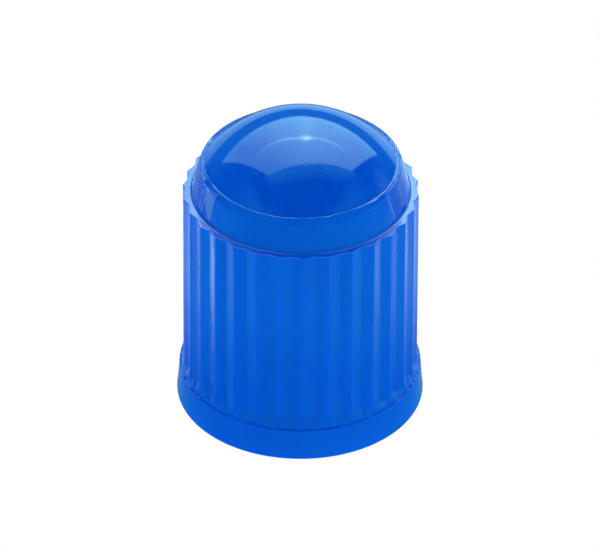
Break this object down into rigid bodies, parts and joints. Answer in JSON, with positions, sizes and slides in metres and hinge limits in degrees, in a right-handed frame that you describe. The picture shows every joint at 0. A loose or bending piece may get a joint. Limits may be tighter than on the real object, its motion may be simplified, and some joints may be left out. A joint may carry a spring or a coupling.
{
  "type": "valve dust cap",
  "caption": "Domed plastic dust cap for a tyre valve: short flared collar, fluted grip skirt, plain foot band, and a blind threaded bore with a rubber sealing ring.",
  "frame": {"origin": "centre of the open mouth, in the plane of the rim that the cap stands on", "axes": "+Z along the cap's axis, from the mouth up through the dome; a crest of the grip flutes points along -Y"},
  "size_m": [0.01, 0.01, 0.0129],
  "materials": {
    "cap_body": "glossy moulded blue plastic, slightly translucent",
    "sealing_ring": "matt black rubber"
  },
  "bodies": {
    "root": {"cap_body": "cap_body", "sealing_ring": "sealing_ring"}
  },
  "joints": []
}
